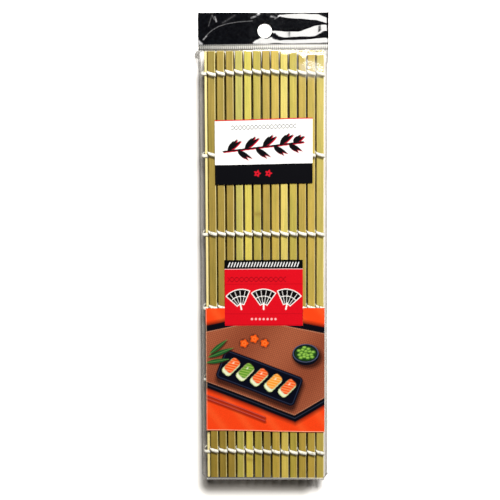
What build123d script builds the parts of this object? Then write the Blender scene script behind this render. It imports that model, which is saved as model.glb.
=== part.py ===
"""Bamboo rolling mat folded in three layers, in a clear hanging pouch with a printed front and a header.

X is the width, Y the length towards the header, Z up from the table. All lengths are in millimetres.
"""

import math
import os

from build123d import *

# Slats
slat_length = 240.0
slat_width = 4.5
slat_gap = 0.5
slat_thickness = 1.5
slat_chamfer = 0.2
lower_layer_count = 12
top_layer_count = 13

# Twine stitches, one round each slat in each row
twine_rise = 0.5
twine_width = 2.0
twine_slope = 1.1
twine_wall = 0.15
twine_side_share = 0.8
twine_taper_deg = 50.0
# Place of each row along the slats, as shares of the slat length from the header end
row_shares = (0.050, 0.238, 0.421, 0.594, 0.763, 0.936)

# Folds
fold_pivot_rise = 0.7
layer_clearance = 0.2
mat_lift = 0.2

# Pouch
pouch_width = 73.0
film_thickness = 0.12
side_weld = 0.6
side_margin = 3.8
right_margin = 3.0
film_clearance = 0.15
wall_clearance = 0.5
end_clearance = 0.3
mouth_margin = 1.0
end_ramp = 0.6
seal_gap = 1.2
joint_clearance = 0.1

# Seal strip and header
seal_length = 2.6
seal_plate = 0.24
seal_rib_rise = 0.16
seal_rib_count = 88
header_length = 18.2
header_thickness = 0.3
hang_hole_diameter = 8.0
hang_hole_from_left = 37.3
hang_hole_from_seal = 8.2

# Printed areas, as distances from the header end of the slats
print_thickness = 0.05
print_gap = 0.02
white_label_width = 54.0
white_label_start = 37.5
white_label_length = 24.9
band_length = 10.9
red_label_width = 43.7
red_label_offset = -0.3
strip_start = 115.6
strip_length = 5.3
red_label_length = 31.7
picture_start = 142.7
picture_length = 70.1
picture_edge = 0.3

# Derived sizes
pitch = slat_width + slat_gap
half_length = (mouth_margin + slat_length + seal_gap + seal_length + header_length) / 2
mouth_y = -half_length
slat_low_y = mouth_y + mouth_margin
slat_high_y = slat_low_y + slat_length
slat_mid_y = (slat_low_y + slat_high_y) / 2
seal_y = slat_high_y + seal_gap
header_y = seal_y + seal_length
half_pouch = pouch_width / 2
bottom_z = film_thickness + mat_lift + twine_rise + slat_thickness / 2
closest_layers = slat_thickness + 2 * twine_rise + layer_clearance
tilt = math.asin((pitch + 2 * fold_pivot_rise - closest_layers) / (lower_layer_count * pitch))
fold_turn = math.pi / 2 + tilt / 2


def turned(along, rise, heading):
    """A point of a layer's own flat frame, turned up by its heading."""
    return (
        along * math.cos(heading) - rise * math.sin(heading),
        along * math.sin(heading) + rise * math.cos(heading),
    )


def added(pivot, along, rise, heading):
    """A point given from a pivot in a layer's own flat frame."""
    x, z = turned(along, rise, heading)
    return pivot[0] + x, pivot[1] + z


# The chain of folds, first with the right fold at X = 0
right_heading = fold_turn
middle_heading = 2 * fold_turn
left_heading = fold_turn
pivot_1 = (0.0, bottom_z + fold_pivot_rise)
pivot_2 = added(pivot_1, pitch, 0.0, right_heading)
pivot_3 = added(pivot_2, lower_layer_count * pitch, -2 * fold_pivot_rise, middle_heading)
pivot_4 = added(pivot_3, pitch, 0.0, left_heading)

# Moved so that the outer face of the left fold slat keeps the side margin
outer_face = added(pivot_4, 0.0, fold_pivot_rise + slat_thickness / 2, left_heading)[0]
shift_x = -half_pouch + side_margin - outer_face
pivot_1 = (pivot_1[0] + shift_x, pivot_1[1])
pivot_2 = (pivot_2[0] + shift_x, pivot_2[1])
pivot_3 = (pivot_3[0] + shift_x, pivot_3[1])
pivot_4 = (pivot_4[0] + shift_x, pivot_4[1])
top_z = pivot_4[1] + fold_pivot_rise
top_left_x = pivot_4[0] + slat_gap / 2
top_right_x = top_left_x + top_layer_count * pitch - slat_gap

# Centre and heading of every slat, layer by layer
bottom_places = [
    (pivot_1[0] - pitch / 2 - number * pitch, bottom_z, 0.0) for number in range(lower_layer_count)
]
right_places = [(*added(pivot_1, pitch / 2, -fold_pivot_rise, right_heading), right_heading)]
middle_places = [
    (*added(pivot_2, pitch / 2 + number * pitch, -fold_pivot_rise, middle_heading), middle_heading)
    for number in range(lower_layer_count)
]
left_places = [(*added(pivot_3, pitch / 2, fold_pivot_rise, left_heading), left_heading)]
top_places = [(pivot_4[0] + pitch / 2 + number * pitch, top_z, 0.0) for number in range(top_layer_count)]


# One slat, centred on the origin
slat = Box(slat_width, slat_length, slat_thickness)
slat = chamfer(slat.edges().filter_by(Axis.Y), slat_chamfer)

# One stitch: a strand over the slat, a strand under it and the two turns in the gaps
stitch_half = slat_width / 2 + twine_wall
strand_plan = Polygon(
    (-stitch_half, twine_slope / 2 + twine_width / 2),
    (-stitch_half, twine_slope / 2 - twine_width / 2),
    (stitch_half, -twine_slope / 2 - twine_width / 2),
    (stitch_half, -twine_slope / 2 + twine_width / 2),
    align=None,
)
strand = Pos(0, 0, slat_thickness / 2) * extrude(strand_plan, twine_rise, taper=twine_taper_deg)
turn = Box(twine_wall, twine_width * twine_side_share, slat_thickness)
turn_x = slat_width / 2 + twine_wall / 2
stitch = (
    strand
    + mirror(strand, about=Plane.XY)
    + Pos(-turn_x, twine_slope / 2, 0) * turn
    + Pos(turn_x, -twine_slope / 2, 0) * turn
)


def slat_at(place):
    """One slat at its centre and heading."""
    x, z, heading = place
    return Location((x, slat_mid_y, z), (0, -math.degrees(heading), 0)) * slat


def stitches_at(place):
    """The six stitches round one slat."""
    x, z, heading = place
    turned_up = (0, -math.degrees(heading), 0)
    return [
        Location((x, slat_high_y - share * slat_length, z), turned_up) * stitch for share in row_shares
    ]


def save(name, pieces):
    """One node: a single solid, or a group of separate ones."""
    solids = [solid for piece in pieces for solid in piece.solids()]
    shape = solids[0] if len(solids) == 1 else Compound(children=solids)
    shape.label = name
    export_step(shape, f"parts/{name}.step")


os.makedirs("parts", exist_ok=True)

# Bottom layer, fold slats and middle layer
save("bottom_slats", [slat_at(place) for place in bottom_places])
save("bottom_twine", [piece for place in bottom_places for piece in stitches_at(place)])
save("right_fold_slat", [slat_at(place) for place in right_places])
save("right_fold_twine", [piece for place in right_places for piece in stitches_at(place)])
save("middle_slats", [slat_at(place) for place in middle_places])
save("middle_twine", [piece for place in middle_places for piece in stitches_at(place)])
save("left_fold_slat", [slat_at(place) for place in left_places])
save("left_fold_twine", [piece for place in left_places for piece in stitches_at(place)])

# Top layer, slat by slat
for number, place in enumerate(top_places, start=1):
    save(f"top_slat_{number:02d}", [slat_at(place)])
    save(f"top_twine_{number:02d}", stitches_at(place))

# Back film sheet
film_length = seal_y - mouth_y
film_mid_y = (seal_y + mouth_y) / 2
film_back = Pos(0, film_mid_y - joint_clearance / 2, film_thickness / 2) * Box(
    pouch_width, film_length - joint_clearance, film_thickness
)
save("film_back", [film_back])

# Front film sheet: outer shape less inner shape, each a section along Y met by a side profile along X
film_in_z = top_z + slat_thickness / 2 + twine_rise + film_clearance
film_out_z = film_in_z + film_thickness
film_left_x = -half_pouch + side_margin - wall_clearance
film_right_x = top_right_x + wall_clearance
weld_x = half_pouch - side_weld
flange_z = 2 * film_thickness
seal_end_y = seal_y - joint_clearance
shoulder_y = slat_high_y + end_clearance + film_thickness
foot_y = shoulder_y + end_ramp
outer_section = Polygon(
    (-half_pouch, film_thickness),
    (half_pouch, film_thickness),
    (half_pouch, flange_z),
    (weld_x, flange_z),
    (film_right_x + film_thickness, film_out_z),
    (film_left_x - film_thickness, film_out_z),
    (-weld_x, flange_z),
    (-half_pouch, flange_z),
    align=None,
)
inner_section = Polygon(
    (-weld_x + film_thickness, film_thickness),
    (weld_x - film_thickness, film_thickness),
    (film_right_x, film_in_z),
    (film_left_x, film_in_z),
    align=None,
)
outer_side = Polygon(
    (mouth_y, film_thickness),
    (seal_end_y, film_thickness),
    (seal_end_y, flange_z),
    (foot_y, flange_z),
    (shoulder_y, film_out_z),
    (mouth_y, film_out_z),
    align=None,
)
inner_side = Polygon(
    (mouth_y, film_thickness),
    (foot_y - film_thickness, film_thickness),
    (shoulder_y - film_thickness, film_in_z),
    (mouth_y, film_in_z),
    align=None,
)
along_y = Plane(origin=(0, 0, 0), x_dir=(1, 0, 0), z_dir=(0, -1, 0))
along_x = Plane(origin=(0, 0, 0), x_dir=(0, 1, 0), z_dir=(1, 0, 0))
outer_bar = extrude(along_y * outer_section, half_length, both=True)
inner_bar = extrude(along_y * inner_section, half_length, both=True)
outer_slab = extrude(along_x * outer_side, half_pouch, both=True)
inner_slab = extrude(along_x * inner_side, half_pouch, both=True)
film_front = (outer_bar & outer_slab) - (inner_bar & inner_slab)
save("film_front", [film_front])

# Seal strip: a thin plate with crimped ribs along its length
rib_pitch = pouch_width / seal_rib_count
seal_points = [(-half_pouch, 0.0), (half_pouch, 0.0), (half_pouch, seal_plate)]
for number in reversed(range(seal_rib_count)):
    rib_start = -half_pouch + number * rib_pitch
    seal_points.append((rib_start + rib_pitch / 2, seal_plate + seal_rib_rise))
    seal_points.append((rib_start, seal_plate))
seal_strip = Pos(0, header_y, 0) * extrude(along_y * Polygon(*seal_points, align=None), seal_length)
save("seal_strip", [seal_strip])

# Header with its hang hole
hole_x = -half_pouch + hang_hole_from_left
hole_y = header_y + hang_hole_from_seal
header = Pos(0, header_y + header_length / 2, header_thickness / 2) * Box(
    pouch_width, header_length, header_thickness
)
header -= Pos(hole_x, hole_y, header_thickness / 2) * Cylinder(hang_hole_diameter / 2, 2 * header_thickness)
save("header", [header])


def printed(left_x, right_x, start, end):
    """A printed area on the front film, between two distances from the header end of the slats."""
    return Pos(
        (left_x + right_x) / 2, slat_high_y - (start + end) / 2, film_out_z + print_thickness / 2
    ) * Box(right_x - left_x, end - start, print_thickness)


# Printed areas
half_white = white_label_width / 2
band_start = white_label_start + white_label_length + print_gap
red_label_start = strip_start + strip_length + print_gap
red_label_end = red_label_start + red_label_length
picture_end = picture_start + picture_length
save("label_white", [printed(-half_white, half_white, white_label_start, band_start - print_gap)])
save("label_band", [printed(-half_white, half_white, band_start, band_start + band_length)])
red_left = red_label_offset - red_label_width / 2
red_right = red_label_offset + red_label_width / 2
save("label_strip", [printed(red_left, red_right, strip_start, strip_start + strip_length)])
save("label_red", [printed(red_left, red_right, red_label_start, red_label_end)])
picture = printed(film_left_x + picture_edge, film_right_x - picture_edge, picture_start, picture_end)
picture -= printed(
    red_left - print_gap, red_right + print_gap, strip_start, red_label_end + print_gap
)
save("picture_panel", [picture])

print("fold turn deg", math.degrees(fold_turn), "tilt deg", math.degrees(tilt))
print("pivots", pivot_1, pivot_2, pivot_3, pivot_4)
print("top z", top_z, "top x", top_left_x, top_right_x, "film out z", film_out_z)
print("y", mouth_y, slat_low_y, slat_high_y, seal_y, header_y, half_length)
print("hole", hole_x, hole_y)
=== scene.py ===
import bpy
import bmesh
import math
import numpy as np
from mathutils import Matrix, Vector, noise


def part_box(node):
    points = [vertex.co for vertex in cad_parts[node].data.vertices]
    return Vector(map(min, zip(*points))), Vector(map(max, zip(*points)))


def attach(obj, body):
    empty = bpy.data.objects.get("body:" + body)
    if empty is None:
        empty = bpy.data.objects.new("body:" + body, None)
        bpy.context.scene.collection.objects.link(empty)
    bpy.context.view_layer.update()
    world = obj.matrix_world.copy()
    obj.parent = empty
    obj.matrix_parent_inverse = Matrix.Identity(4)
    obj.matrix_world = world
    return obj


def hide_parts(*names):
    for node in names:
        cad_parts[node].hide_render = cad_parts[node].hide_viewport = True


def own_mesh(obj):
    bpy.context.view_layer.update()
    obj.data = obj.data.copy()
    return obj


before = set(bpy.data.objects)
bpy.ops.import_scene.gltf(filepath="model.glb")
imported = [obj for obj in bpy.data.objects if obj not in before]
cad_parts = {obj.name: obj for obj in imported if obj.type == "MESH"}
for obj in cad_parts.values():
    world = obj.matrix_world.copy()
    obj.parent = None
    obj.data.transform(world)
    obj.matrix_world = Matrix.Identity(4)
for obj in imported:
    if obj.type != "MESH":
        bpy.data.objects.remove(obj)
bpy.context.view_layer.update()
bpy.ops.object.select_all(action="DESELECT")

# The camera hangs about 0.6 m over the pack and a little towards the header, so the header end looks
# slightly larger than the open end.
camera_turn = (math.radians(-4.617), math.radians(1.0), math.radians(-0.278))
camera_aim = Vector((-0.00807, -0.00152, 0.0))
camera_far = 0.600
sensor_width = 36.0
focal_share = 1.7579 * 600 / 500
turn_x = Matrix.Rotation(camera_turn[0], 4, "X")
turn_y = Matrix.Rotation(camera_turn[1], 4, "Y")
turn_z = Matrix.Rotation(camera_turn[2], 4, "Z")
camera_at = camera_aim + (turn_z @ turn_y @ turn_x) @ Vector((0, 0, camera_far))
bpy.ops.object.camera_add(location=camera_at, rotation=camera_turn)
camera = bpy.context.object
camera.data.sensor_width = sensor_width
camera.data.lens = focal_share * sensor_width
camera.data.clip_start = 0.01
bpy.context.scene.camera = camera
bpy.context.scene.view_settings.view_transform = "Standard"

# Two soft lamps hang over the upper right of the pack, one behind the other. The near edge of the nearer
# one is what the glossy header and the top corner of the film throw back. A room that is dim overhead
# fills the shadows.
for place, size, power in (
    ((0.129, 0.319, 0.50), (0.23, 0.27), 2.5),
    ((0.33, 1.58, 2.00), (0.80, 0.95), 82.0),
):
    bpy.ops.object.light_add(type="AREA", location=place)
    lamp = bpy.context.object
    lamp.data.shape = "RECTANGLE"
    lamp.data.size, lamp.data.size_y = size
    lamp.data.energy = power
    lamp.data.color = (1.0, 0.985, 0.955)
    lamp.visible_camera = False


def plug(tree, node, inputs):
    """Links a node's inputs to sockets, or sets them to values."""
    for key, value in inputs.items():
        if isinstance(value, bpy.types.NodeSocket):
            tree.links.new(value, node.inputs[key])
        else:
            node.inputs[key].default_value = value


def add_node(tree, kind, inputs=None, **settings):
    """A new node in a tree, with its settings and its inputs."""
    node = tree.nodes.new("ShaderNode" + kind)
    for name, value in settings.items():
        setattr(node, name, value)
    plug(tree, node, inputs or {})
    return node


def ramped(tree, value, *stops):
    """The colour that a ramp gives a value. Each stop is a place and a colour or a grey level."""
    ramp = add_node(tree, "ValToRGB", {0: value})
    elements = ramp.color_ramp.elements
    elements[0].position = stops[0][0]
    elements[1].position = stops[-1][0]
    for position, _ in stops[1:-1]:
        elements.new(position)
    for element, (_, colour) in zip(elements, stops):
        element.color = colour if isinstance(colour, tuple) else (colour, colour, colour, 1)
    return ramp.outputs["Color"]


room = bpy.data.worlds.new("room")
bpy.context.scene.world = room
room.use_nodes = True
tree = room.node_tree
room_height = add_node(tree, "SeparateXYZ", {0: add_node(tree, "TexCoord").outputs["Generated"]}).outputs["Z"]
room_colour = ramped(tree, room_height, (0.15, (1.0, 0.97, 0.93, 1)), (0.95, (0.06, 0.06, 0.07, 1)))
plug(tree, tree.nodes["Background"], {"Color": room_colour, "Strength": 0.19})

# The pack lies on a plain table that is grey enough to hold the shade beside the pack. Outside a box round
# the pack the camera sees it lit up step by step, so that it is plain white where no shade falls. Inside the
# box it stays grey: a painted shade round the pack that deepens its real shadow.
bpy.ops.mesh.primitive_plane_add(size=6.0, location=(0, 0, -0.0001))
table = bpy.context.object
table.name = "table"
shade_middle = (-0.0055, -0.0215, 0.0)
shade_half = (0.0260, 0.1155, 10.0)
white_table = bpy.data.materials.new("white table")
white_table.use_nodes = True
tree = white_table.node_tree
tree.nodes.remove(tree.nodes["Principled BSDF"])


def mixed(tree, kind, share, first, second):
    """Two colours put together; each input is a socket, a colour or a number."""
    inputs = {0: share, 6: first, 7: second}
    return add_node(tree, "Mix", inputs, data_type="RGBA", blend_type=kind).outputs[2]


table_far = add_node(tree, "TexCoord").outputs["Object"]
for operation, other in (
    ("SUBTRACT", {1: shade_middle}), ("ABSOLUTE", {}), ("SUBTRACT", {1: shade_half}),
    ("MAXIMUM", {1: (0.0, 0.0, 0.0)}),
):
    table_far = add_node(tree, "VectorMath", {0: table_far, **other}, operation=operation).outputs[0]
table_far = add_node(tree, "VectorMath", {0: table_far}, operation="LENGTH").outputs["Value"]
# Painted shade: the camera sees the table lit up only outside the box round the pack, so it stays grey inside
# it
table_lift_and_painted_shade = ramped(
    tree, table_far, (0.0, 0.0), (0.0025, 0.04), (0.004, 0.14), (0.006, 0.42), (0.009, 0.95), (0.10, 2.6)
)
to_camera = add_node(tree, "LightPath").outputs["Is Camera Ray"]
table_lift_and_painted_shade = mixed(tree, "MIX", to_camera, (0.0, 0.0, 0.0, 1), table_lift_and_painted_shade)
table_paint = add_node(tree, "BsdfDiffuse", {"Color": (0.37, 0.345, 0.315, 1)})
table_light = add_node(tree, "BsdfDiffuse", {"Color": table_lift_and_painted_shade})
table_sum = add_node(tree, "AddShader", {0: table_paint.outputs[0], 1: table_light.outputs[0]})
plug(tree, tree.nodes["Material Output"], {"Surface": table_sum.outputs[0]})
table.data.materials.append(white_table)

# Slats: split bamboo, 24 cm long, cut square and planed. The flat faces keep the olive skin colour, the long
# sides are cut wood and paler; the right side is painted paler still as a painted highlight and the left side
# dark as painted shade. No two are quite as wide or as straight, and some hold a knot.
slat_low, slat_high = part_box("top_slat_01")
slat_width = slat_high[0] - slat_low[0]
slat_length = slat_high[1] - slat_low[1]
slat_thickness = slat_high[2] - slat_low[2]
slat_mid_y = (slat_low[1] + slat_high[1]) / 2
slat_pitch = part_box("top_slat_02")[0][0] - slat_low[0]
slat_round = 0.00042
flat_inset = 0.00035
end_drop = 0.00012
top_count = 13
ring_count = 61
mm = 0.001


def linear(red, green, blue):
    """A colour as it is seen, 0 to 255, turned to the light it gives back."""
    values = []
    for value in (red, green, blue):
        share = value / 255
        values.append(share / 12.92 if share <= 0.04045 else ((share + 0.055) / 1.055) ** 2.4)
    return (*values, 1.0)


def select_long_edges(mesh):
    """Selects the edges that run along the slat, in edit mode."""
    bpy.ops.mesh.select_all(action="DESELECT")
    edit = bmesh.from_edit_mesh(mesh)
    for edge in edit.edges:
        edge.select = abs(edge.verts[0].co.y - edge.verts[1].co.y) > slat_length / 2
    bmesh.update_edit_mesh(mesh)


bpy.ops.mesh.primitive_cube_add(size=1, location=(0, 0, 0))
blank = bpy.context.object
blank.name = "slat_blank"
blank.scale = (slat_width, slat_length, slat_thickness)
bpy.ops.object.transform_apply(location=False, rotation=False, scale=True)
bpy.ops.object.mode_set(mode="EDIT")
bpy.ops.mesh.select_mode(type="EDGE")
select_long_edges(blank.data)
bpy.ops.mesh.bevel(offset=slat_round, segments=3, profile=0.5)
select_long_edges(blank.data)
bpy.ops.mesh.subdivide(number_cuts=ring_count - 2)
bpy.ops.mesh.select_all(action="SELECT")
bpy.ops.mesh.normals_make_consistent(inside=False)
bpy.ops.object.mode_set(mode="OBJECT")

# Tints of split bamboo, from dry straw to green
khaki = linear(184, 162, 82)
dull = linear(172, 150, 74)
straw = linear(208, 192, 108)
olive = linear(184, 170, 84)
green = linear(190, 182, 102)
yellow = linear(214, 200, 100)
# Each slat of the top layer: its tint, how light it is, its width as a share, how pale its right edge is
# painted (pale cut wood with a painted highlight on it), and where a knot lies along it, if it has one
top_cuts = [
    (dull, 0.93, 0.94, 1.0, None), (dull, 0.91, 0.90, 0.9, 0.071), (dull, 0.97, 0.91, 0.9, None),
    (green, 1.03, 0.89, 1.0, None), (yellow, 1.03, 0.86, 0.7, -0.1092), (olive, 1.06, 0.91, 0.6, 0.030),
    (khaki, 0.94, 0.87, 0.3, None), (khaki, 1.25, 0.95, 0.5, -0.020), (straw, 1.12, 0.89, 0.8, None),
    (olive, 1.13, 0.90, 0.6, None), (khaki, 1.01, 0.92, 0.6, None), (khaki, 1.17, 0.92, 0.7, None),
    (straw, 0.94, 0.93, 1.0, None),
]
# The six rows of twine, as shares of the length from the header's end, and how far each row's stitches
# stray from a straight line, slat by slat, in millimetres towards the header
row_shares = (0.050, 0.238, 0.421, 0.594, 0.763, 0.936)
row_ys = [slat_mid_y + slat_length / 2 - share * slat_length for share in row_shares]
row_drift = (
    (-0.85, -0.45, -0.05, 0.15, 0.30, 0.35, 0.40, 0.35, 0.15, -0.05, -0.30, -0.55, -0.90),
    (0.10, 0.05, 0.05, 0.0, 0.0, 0.0, 0.0, 0.0, -0.05, -0.10, -0.15, -0.20, -0.30),
    (0.15, 0.15, 0.10, 0.05, 0.10, 0.10, 0.05, 0.05, 0.0, -0.05, -0.10, -0.15, -0.20),
    (0.10, 0.10, 0.05, 0.05, 0.0, 0.0, 0.0, 0.0, 0.0, -0.05, -0.05, -0.10, -0.15),
    (0.0, 0.05, 0.05, 0.10, 0.05, 0.0, 0.0, -0.05, -0.05, -0.05, 0.0, 0.0, 0.0),
    (0.65, 0.60, 0.55, 0.40, 0.30, 0.20, 0.0, -0.20, -0.40, -0.55, -0.70, -0.90, -0.65),
)
top_stitches = [
    [row_y + row[number] * mm for row_y, row in zip(row_ys, row_drift)] for number in range(top_count)
]
twine_slope = 0.00125
# Cross-cuts beside a slat's ends, round a stitch and round a knot, and the painted shadow line below each
# stitch
end_cut = 0.0005
stitch_cuts = (0.0013, -0.0009, -0.0014, -0.0021, -0.0026)
knot_cuts = (-0.0022, -0.0009, 0.0, 0.0009, 0.0022)
painted_shadow_below = 0.00175
painted_shadow_half = 0.0005
sloped_half = 0.0032
knot_half = 0.0011
# How light the painted shade on the left sides and the painted shadow lines are, and how pale the cut ends
# are
left_side_painted_shade = 0.26
painted_shadow_light = 0.28
end_pale = 0.9


def wavering(*place):
    """Smooth noise at a place."""
    return noise.noise(Vector(place))


def stitch_ys(seed, number):
    """Where the six stitches lie along a slat of a lower layer."""
    return [row_y + 0.0005 * wavering(seed, number * 1.3, row * 2.1) for row, row_y in enumerate(row_ys)]


def ring_places(stitches, knot):
    """Where the cross-cuts of a slat lie along it: at its ends, its knot and its stitches, then evenly."""
    half = slat_length / 2
    places = [-half, -half + end_cut, half - end_cut, half]
    places += [stitch - slat_mid_y + shift for stitch in stitches for shift in stitch_cuts]
    if knot is not None:
        places += [knot + shift for shift in knot_cuts]
    places.sort()
    while len(places) < ring_count:
        span, near = max((far - near, near) for near, far in zip(places, places[1:]))
        places.append(near + span / 2)
        places.sort()
    return places


def slat_mesh(cut, seed, stitches, short=0.0):
    """One slat about the origin, with its own edges, tint and knot, a painted shadow line under each stitch,
    painted shade on its left side and a painted highlight on its right side. Short is how much it lacks at
    its lower end."""
    tint, light, share, right_edge_pale_and_lit, knot = cut
    mesh = blank.data.copy()
    for name, kind in (("tone_and_painted_light", "FLOAT_COLOR"), ("sawn_and_lit", "FLOAT"), ("knotty", "FLOAT")):
        mesh.attributes.new(name, kind, "POINT")
    tone_and_painted_light, sawn_and_lit, knotty = mesh.attributes["tone_and_painted_light"], mesh.attributes["sawn_and_lit"], mesh.attributes["knotty"]
    places = ring_places(stitches, knot)
    for number, vertex in enumerate(mesh.vertices):
        place = vertex.co
        ring = round((place.y + slat_length / 2) / slat_length * (ring_count - 1))
        along = places[ring]
        side = 1 if place.x > 0 else -1
        flat = abs(place.x) < slat_width / 2 - flat_inset and abs(place.z) > slat_thickness / 2 - 0.00002
        swell = 0.0 if knot is None else math.exp(-(((along - knot) / knot_half) ** 2))
        waver = 0.00008 * wavering(side * 3.1 + seed, along * 38, seed * 1.7)
        ripple = 0.00005 * wavering(side * 9.4 + seed, along * 170, 2.2)
        bow = 0.00006 * math.sin(along * 11 + seed * 2.4)
        from_painted_shadow = min(abs(along - (stitch - slat_mid_y) + painted_shadow_below) for stitch in stitches)
        place.x = place.x * share + waver + ripple + bow + side * 0.00010 * swell
        place.z += math.copysign(0.00005 * swell, place.z)
        at_end = ring in (0, ring_count - 1)
        if at_end:
            place.z -= math.copysign(end_drop, place.z)
            along -= math.copysign(0.0004 * (0.5 + 0.5 * wavering(seed * 5.3, 0.1, 0.1)), along)
            along += short if along < 0 else 0.0
        elif from_painted_shadow < sloped_half:
            along -= twine_slope * place.x / slat_width
        place.y = along
        # Painted light: the slat is painted lighter towards the header end, in place of the lamps' fall-off;
        # the rest is its own tone
        shade = light * (0.91 + 0.5 * along + 0.14 * wavering(seed * 2.9, along * 14, 0.5))
        # Painted shade: the left long side is painted dark and browner, and its tone's alpha takes its shine
        # away
        painted_dark_side = not flat and side < 0
        if painted_dark_side:
            shade *= left_side_painted_shade
        # Painted shadow: a dark line on the top face just below each stitch
        if from_painted_shadow < painted_shadow_half and place.z > 0:
            shade *= painted_shadow_light
        # The painted shade is browner; elsewhere the colour is less blue towards the open end
        less_green, less_blue = (0.82, 0.35) if painted_dark_side else (0.97 + 0.4 * along, 0.88 + 1.5 * along)
        shaded = (tint[0] * shade, tint[1] * shade * less_green, tint[2] * shade * less_blue)
        tone_and_painted_light.data[number].color = (*shaded, 0 if painted_dark_side else 1)
        # The right long side is pale cut wood with a painted highlight on it; the ends are pale cut wood
        sawn_and_lit.data[number].value = end_pale if at_end else (right_edge_pale_and_lit if not flat and side > 0 else 0.0)
        knotty.data[number].value = swell
    return mesh


def new_material(name):
    """A material, its node tree and its Principled shader."""
    material = bpy.data.materials.new(name)
    material.use_nodes = True
    return material, material.node_tree, material.node_tree.nodes["Principled BSDF"]


def attribute(tree, name):
    """The outputs of a node that reads one of a mesh's attributes."""
    return add_node(tree, "Attribute", attribute_name=name).outputs


def noise_on(tree, scale, detail, roughness=0.5):
    """Noise that is fixed to the piece. Its scale is one number, or one for each axis."""
    place = add_node(tree, "TexCoord").outputs["Object"]
    if isinstance(scale, tuple):
        place = add_node(tree, "Mapping", {"Vector": place, "Scale": scale}).outputs["Vector"]
        scale = 1.0
    inputs = {"Vector": place, "Scale": scale, "Detail": detail, "Roughness": roughness}
    return add_node(tree, "TexNoise", inputs).outputs["Fac"]


def worked(tree, operation, *values, clamp=False):
    """A number worked out from others."""
    return add_node(tree, "Math", dict(enumerate(values)), operation=operation, use_clamp=clamp).outputs[0]


def ranged(tree, value, low=0.0, high=1.0, to_low=0.0, to_high=1.0):
    """A value taken from one range to another and held inside it."""
    inputs = {"Value": value, "From Min": low, "From Max": high, "To Min": to_low, "To Max": to_high}
    return add_node(tree, "MapRange", inputs).outputs["Result"]


def bumped(tree, height, strength, distance):
    """The normal of a surface with a fine relief."""
    inputs = {"Height": height, "Strength": strength, "Distance": distance}
    return add_node(tree, "Bump", inputs).outputs["Normal"]


# Bamboo: long fibres, dark flecks where a bundle of them was cut, soft patches, and a satin shine
bamboo, tree, wood = new_material("split bamboo")
fibre = noise_on(tree, (5200, 55, 5200), 4.0, 0.62)
fibre_shade = ramped(tree, fibre, (0.32, (0.80, 0.78, 0.70, 1)), (0.66, (1.10, 1.10, 1.08, 1)))
patch = noise_on(tree, (420, 42, 420), 3.0)
patch_shade = ramped(tree, patch, (0.30, (0.86, 0.90, 0.84, 1)), (0.72, (1.10, 1.06, 1.02, 1)))
fleck = ramped(tree, noise_on(tree, (3400, 240, 3400), 2.0), (0.66, 0.0), (0.78, 1.0))
fleck = worked(tree, "MULTIPLY", fleck, 0.28)
knot_share = worked(tree, "MULTIPLY", attribute(tree, "knotty")["Fac"], 0.55)
# The tone attribute carries painted light: lighter towards the header end, painted shade on the left sides
# and a painted shadow line under each stitch
wood_tone_and_painted_light = attribute(tree, "tone_and_painted_light")
skin_colour = mixed(tree, "MULTIPLY", 1.0, wood_tone_and_painted_light["Color"], fibre_shade)
skin_colour = mixed(tree, "MULTIPLY", 1.0, skin_colour, patch_shade)
skin_colour = mixed(tree, "MIX", fleck, skin_colour, linear(120, 96, 40))
sawn_colour = mixed(tree, "MULTIPLY", 1.0, linear(250, 234, 168), fibre_shade)
wood_colour = mixed(tree, "MIX", attribute(tree, "sawn_and_lit")["Fac"], skin_colour, sawn_colour)
plug(tree, wood, {
    "Base Color": mixed(tree, "MIX", knot_share, wood_colour, linear(140, 112, 52)),
    "Roughness": ranged(tree, fibre, to_low=0.42, to_high=0.66),
    "Normal": bumped(tree, fibre, 0.35, 0.00006),
    "Specular IOR Level": worked(tree, "MULTIPLY", wood_tone_and_painted_light["Alpha"], 0.16),
})

# The top layer rolls, so each of its slats is a piece of its own
top_centre_x = [slat_low[0] + slat_width / 2 + number * slat_pitch for number in range(top_count)]
top_centre_z = (slat_low[2] + slat_high[2]) / 2


def linked(name, mesh, material):
    """A piece made of a finished mesh."""
    mesh.materials.append(material)
    piece = bpy.data.objects.new(name, mesh)
    bpy.context.collection.objects.link(piece)
    return piece


for number in range(top_count):
    mesh = slat_mesh(top_cuts[number], 1.0 + number * 0.73, top_stitches[number], 0.0007 - number * 0.0001)
    mesh.transform(Matrix.Translation((top_centre_x[number], slat_mid_y, top_centre_z)))
    piece = linked(f"bamboo_slat_{number + 1:02d}", mesh, bamboo)
    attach(piece, f"top_{number + 1:02d}")
    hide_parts(f"top_slat_{number + 1:02d}")

# Fold slats stand on edge, one at each fold of the mat. The two lower layers hold twelve slats each, and
# the middle one slopes from the right fold down to the left one.
lower_count = 12
turn_of_fold = math.radians(91.7677)
turn_of_middle = 2 * turn_of_fold


def upright(centre, heading):
    """The place of a slat that is turned up by its heading about its own length."""
    return Matrix.Translation(centre) @ Matrix.Rotation(-heading, 4, "Y")


def middle_of(node):
    """The middle of a node's box, at the middle of the slats' length."""
    low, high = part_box(node)
    return Vector(((low[0] + high[0]) / 2, slat_mid_y, (low[2] + high[2]) / 2))


bottom_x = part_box("bottom_slats")[0][0] + slat_width / 2
bottom_z = middle_of("bottom_slats").z
bottom_places = [
    (Vector((bottom_x + number * slat_pitch, slat_mid_y, bottom_z)), 0.0) for number in range(lower_count)
]
middle_centre = middle_of("middle_slats")
middle_step = Vector((math.cos(turn_of_middle), 0, math.sin(turn_of_middle))) * slat_pitch
middle_places = [
    (middle_centre + middle_step * (number - (lower_count - 1) / 2), turn_of_middle)
    for number in range(lower_count)
]
right_places = [(middle_of("right_fold_slat"), turn_of_fold)]
left_places = [(middle_of("left_fold_slat"), turn_of_fold)]
lower_tints = (khaki, dull, olive, straw, green, khaki)


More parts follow.
